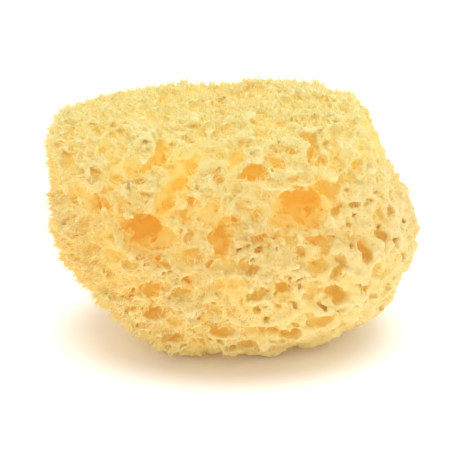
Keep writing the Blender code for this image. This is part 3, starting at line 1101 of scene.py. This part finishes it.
@dataclass
class Fringe(Growth):
    """Fine curved tufts of fibre on the skeleton's outer crests, over one quarter of the sponge.

    Attributes:
        name: The quarter's name.
        skeleton: The grown skeleton.
        side: Which quarter, as the signs of x and y.
        seed: Seed of the quarter's draws.
        per_square: The most tufts to a square millimetre.
        outward_share: How far a tuft leans to the way out of the sponge.
        upright_share: How far it leans to the way out of its own wall.
        wildness: How far it leans any way.
        combed: The way that tufts are combed where the sponge is feathery.
        clump: A clump's width, in millimetres.
        clumping: How far tufts lean to the middle of their clump.
        length: A tuft's length, in millimetres.
        width: A tuft's width at its root, in millimetres.
        swirl_width: The width of the swirls that bend the tufts, in millimetres.
        bend: How far they bend a tuft's end, in millimetres.
        most: The most tufts that the quarter may have.
    """

    name: str
    skeleton: bpy.types.Object
    side: tuple[int, int]
    seed: int
    per_square: float = 1.5
    outward_share: float = 0.4
    upright_share: float = 0.4
    wildness: float = 0.35
    combed: tuple[float, float, float] = (-0.55, -0.1, 0.0)
    clump: float = 2.6
    clumping: float = 0.7
    length: float = 2.3
    width: float = 0.28
    swirl_width: float = 2.5
    bend: float = 2.2
    most: int = 19_000

    def named(self, name: str, kind: str) -> Socket:
        """A named attribute of the skeleton."""
        return self.add("GeometryNodeInputNamedAttribute", {"Name": name}, data_type=kind)

    def feather(self) -> Socket:
        """1 where the sponge is feathery, up on the left, and 0 where it is smooth, low on the right."""
        lean = self.lean(self.add("GeometryNodeInputPosition"), MM)
        values = {"Value": lean, "From Min": 60.0 * MM, "From Max": -25.0 * MM}
        return self.add(RANGE, values, interpolation_type="SMOOTHSTEP")

    def tuft(self) -> Socket:
        """One upright tuft: a thin cone whose points know how high they stand."""
        cone = self.add(
            "GeometryNodeMeshCone",
            {
                "Vertices": 3,
                "Side Segments": 2,
                "Radius Top": 0.0,
                "Radius Bottom": self.width * MM / 2,
                "Depth": self.length * MM,
            },
        )
        position = self.add("GeometryNodeInputPosition")
        level = self.add("ShaderNodeSeparateXYZ", (position,), "Z")
        share = self.add(MATH, (level, self.length * MM), operation="DIVIDE")
        return self.add(
            "GeometryNodeStoreNamedAttribute", {"Geometry": cone, "Name": "rise", "Value": share}
        )

    def roots(self) -> Socket:
        """The points that tufts stand on."""
        position = self.add("GeometryNodeInputPosition")
        parts = self.add("ShaderNodeSeparateXYZ", (position,), "X")
        in_x = self.add(MATH, (parts, self.side[0], 0.0), operation="MULTIPLY_ADD")
        in_y = self.add(MATH, (sibling(parts, "Y"), self.side[1], 0.0), operation="MULTIPLY_ADD")
        inner = self.add(MATH, (in_x, in_y), operation="MINIMUM")
        here = self.add("FunctionNodeCompare", (inner, 0.0), operation="GREATER_THAN")
        depth = self.named("depth", "FLOAT")
        shallow = self.add(RANGE, {"Value": depth, "From Min": 5.0, "From Max": 1.0})
        normal = self.add("GeometryNodeInputNormal")
        outward = self.named("outward", "FLOAT_VECTOR")
        facing = self.add(VECTORS, (normal, outward), "Value", operation="DOT_PRODUCT")
        open_side = self.add(RANGE, {"Value": facing, "From Min": -0.1, "From Max": 0.6})
        height = sibling(parts, "Z")
        level = self.add(RANGE, {"Value": height, "From Min": 0.002, "From Max": 0.008})
        share = self.add(MATH, (shallow, open_side), operation="MULTIPLY")
        share = self.add(MATH, (share, level), operation="MULTIPLY")
        wanted = self.add(MATH, (self.feather(), 0.7, 0.3), operation="MULTIPLY_ADD")
        share = self.add(MATH, (share, wanted), operation="MULTIPLY")
        density = self.add(MATH, (share, self.per_square / (MM * MM)), operation="MULTIPLY")
        points = self.add(
            "GeometryNodeDistributePointsOnFaces",
            {"Mesh": self.entry, "Selection": here, "Density": density, "Seed": self.seed},
            "Points",
        )
        index = self.add("GeometryNodeInputIndex")
        past = self.add("FunctionNodeCompare", (index, float(self.most)), operation="GREATER_THAN")
        return self.add("GeometryNodeDeleteGeometry", (points, past))

    def direction(self, points: Socket) -> Socket:
        """The way that each tuft leans: out of the sponge and its own wall, along the comb and to its clump.

        Args:
            points: The output of the points on the faces, whose node also gives the walls' normals.

        Returns:
            The turn of each tuft.
        """
        normal = sibling(points, "Normal")
        outward = self.add(
            VECTORS,
            {0: self.named("outward", "FLOAT_VECTOR"), "Scale": self.outward_share},
            operation="SCALE",
        )
        upright = self.add(VECTORS, {0: normal, "Scale": self.upright_share}, operation="SCALE")
        both = self.add(VECTORS, (upright, outward), operation="ADD")
        wild = self.add(
            "FunctionNodeRandomValue",
            {"Min": [-self.wildness] * 3, "Max": [self.wildness] * 3, "Seed": self.seed + 1},
            data_type="FLOAT_VECTOR",
        )
        position = self.add("GeometryNodeInputPosition")
        place = self.add(VECTORS, {0: position, "Scale": PER_METRE}, operation="SCALE")
        heart = self.add(
            "ShaderNodeTexVoronoi", {"Vector": place, "Scale": 1 / self.clump}, "Position", feature="F1"
        )
        towards = self.add(VECTORS, (heart, place), operation="SUBTRACT")
        drawn = self.add(VECTORS, {0: towards, "Scale": self.clumping}, operation="SCALE")
        comb = self.add(VECTORS, {0: self.combed, "Scale": self.feather()}, operation="SCALE")
        loose = self.add(VECTORS, (both, wild), operation="ADD")
        loose = self.add(VECTORS, (loose, comb), operation="ADD")
        way = self.add(VECTORS, (loose, drawn), operation="ADD")
        return self.add("FunctionNodeAlignRotationToVector", {"Vector": way}, axis="Z")

    def build(self) -> bpy.types.Object:
        """Grows the fringe as its own piece."""
        piece = duplicate(self.skeleton, self.name)
        self.begin("grow_" + self.name)
        points = self.roots()
        distributed = next(n for n in self.tree.nodes if n.type == "DISTRIBUTE_POINTS_ON_FACES").outputs[0]
        turn = self.direction(distributed)
        chance = self.add(
            "FunctionNodeRandomValue", {"Min": 0.45, "Max": 1.25, "Seed": self.seed + 2}, data_type="FLOAT"
        )
        longer = self.add(MATH, (self.feather(), 0.95, 0.55), operation="MULTIPLY_ADD")
        height = self.add(MATH, (chance, longer), operation="MULTIPLY")
        girth = self.add(
            "FunctionNodeRandomValue", {"Min": 0.7, "Max": 1.7, "Seed": self.seed + 3}, data_type="FLOAT"
        )
        scale = self.add("ShaderNodeCombineXYZ", (girth, 0.8, height))
        values = {"Min": 0.0, "Max": 2 * math.pi, "Seed": self.seed + 4}
        spun = self.add("FunctionNodeRandomValue", values, data_type="FLOAT")
        spin = self.add("ShaderNodeCombineXYZ", (0.0, 0.0, spun))
        spin_turn = self.add("FunctionNodeEulerToRotation", (spin,))
        placed = self.add("FunctionNodeRotateRotation", (turn, spin_turn), rotation_space="LOCAL")
        instances = self.add(
            "GeometryNodeInstanceOnPoints",
            {"Points": points, "Instance": self.tuft(), "Rotation": placed, "Scale": scale},
        )
        mesh = self.add("GeometryNodeRealizeInstances", (instances,))
        position = self.add("GeometryNodeInputPosition")
        place = self.add(VECTORS, {0: position, "Scale": PER_METRE}, operation="SCALE")
        values = {"Vector": place, "Scale": 1 / self.swirl_width, "Detail": 1.0}
        swirl = self.add("ShaderNodeTexNoise", values, "Color")
        about = self.add(VECTORS, (swirl, (0.5, 0.5, 0.5)), operation="SUBTRACT")
        rise = self.named("rise", "FLOAT")
        bend = self.add(MATH, (rise, 2.0), operation="POWER")
        bend = self.add(MATH, (bend, self.bend * MM), operation="MULTIPLY")
        lift = self.add(VECTORS, {0: about, "Scale": bend}, operation="SCALE")
        mesh = self.add("GeometryNodeSetPosition", {"Geometry": mesh, "Offset": lift})
        mesh = self.add("GeometryNodeStoreNamedAttribute", {"Geometry": mesh, "Name": "tuft", "Value": 1.0})
        self.grow(piece, mesh)
        piece.data.shade_flat()
        LOG.info("%s: %d faces", self.name, len(piece.data.polygons))
        return piece


@dataclass
class Studio:
    """The white board, the soft lights and the pale surroundings.

    Attributes:
        finish: The board's material.
        floor_side: The board's side, in millimetres.
        sky: How strong the surroundings shine.
        overhead: The power of the light above the sponge, in watts.
        bounces: How often light is followed on from one wall to the next.
    """

    finish: bpy.types.Material
    floor_side: float = 6000.0
    sky: float = 1.0
    overhead: float = 1.4
    bounces: int = 32

    def add_floor(self) -> bpy.types.Object:
        """Makes the board that the sponge rests on."""
        bpy.ops.mesh.primitive_plane_add(size=self.floor_side * MM)
        floor = bpy.context.object
        floor.name = "white_floor"
        floor.data.materials.append(self.finish)
        return floor

    def add_light(self, name: str, place: tuple[float, float, float], side: float, power: float) -> None:
        """Adds a square soft light that looks at the sponge.

        Args:
            name: Its name.
            place: Where it is, in metres.
            side: Its side, in metres.
            power: Its power, in watts.
        """
        aim = Vector((0.0, 0.0, 0.04)) - Vector(place)
        turn = aim.to_track_quat("-Z", "Y").to_euler()
        bpy.ops.object.light_add(type="AREA", location=place, rotation=turn)
        light = bpy.context.object
        light.name = name
        light.data.size = side
        light.data.energy = power

    def add_surroundings(self) -> None:
        """Makes the pale surroundings."""
        world = bpy.data.worlds.new("pale_room")
        world.use_nodes = True
        shade = world.node_tree.nodes["Background"]
        shade.inputs["Color"].default_value = (1.0, 1.0, 1.0, 1.0)
        shade.inputs["Strength"].default_value = self.sky
        bpy.context.scene.world = world

    def build(self) -> bpy.types.Object:
        """Makes the whole studio, and returns its floor."""
        self.add_surroundings()
        self.add_light("overhead", (0.2, 0.1, 0.9), 0.6, self.overhead)
        scene = bpy.context.scene
        scene.view_settings.view_transform = "Standard"
        scene.cycles.max_bounces = self.bounces
        scene.cycles.diffuse_bounces = self.bounces
        return self.add_floor()


def copy_of(node: bpy.types.Object, name: str) -> bpy.types.Object:
    """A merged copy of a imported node, on its own mesh.

    Args:
        node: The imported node.
        name: The copy's name.

    Returns:
        The copy, unturned at the origin.
    """
    copy = duplicate(node, name)
    copy.parent = None
    copy.matrix_world = Matrix.Identity(4)
    copy.hide_render = False
    copy.hide_set(False)
    select_only(copy)
    bpy.ops.object.mode_set(mode="EDIT")
    bpy.ops.mesh.select_all(action="SELECT")
    bpy.ops.mesh.remove_doubles(threshold=0.000005)
    bpy.ops.object.mode_set(mode="OBJECT")
    return copy


def hull_of(skin: bpy.types.Object) -> bpy.types.Object:
    """The convex hull of the skin, on its own mesh."""
    hull = duplicate(skin, "hull")
    select_only(hull)
    bpy.ops.object.mode_set(mode="EDIT")
    bpy.ops.mesh.select_all(action="SELECT")
    bpy.ops.mesh.convex_hull()
    bpy.ops.object.mode_set(mode="OBJECT")
    return hull


QUARTERS = {
    "front_left_fringe": (-1, -1),
    "front_right_fringe": (1, -1),
    "back_left_fringe": (-1, 1),
    "back_right_fringe": (1, 1),
}


def grow_sponge(view: Viewpoint, node: bpy.types.Object) -> tuple[bpy.types.Object, list[bpy.types.Object]]:
    """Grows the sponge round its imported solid.

    Args:
        view: The camera that the picture's pores are seen by.
        node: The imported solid.

    Returns:
        The skeleton and the fringes.
    """
    skin = copy_of(node, "skeleton")
    hull = hull_of(skin)
    plugs = PorePlugs(hull, view).build()
    skeleton = Skeleton(skin, plugs).build()
    for helper in (hull, plugs):
        bpy.data.objects.remove(helper)
    fringes = [
        Fringe(name, skeleton, side, seed=20 + i).build() for i, (name, side) in enumerate(QUARTERS.items())
    ]
    return skeleton, fringes


def main() -> None:
    """Builds the sponge and its studio, and reports each piece."""
    logging.basicConfig(level=logging.INFO, format="%(relativeCreated)8d ms %(message)s")
    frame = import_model()
    view = Viewpoint()
    view.build()
    skeleton, fringes = grow_sponge(view, frame["nodes"][NODE])
    finish = Spongin().build()
    for piece in (skeleton, *fringes):
        piece.data.materials.clear()
        piece.data.materials.append(finish)
        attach(piece, BODY)
    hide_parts(NODE)
    Studio(PaleFloor().build()).build()


if __name__ == "__main__":
    main()
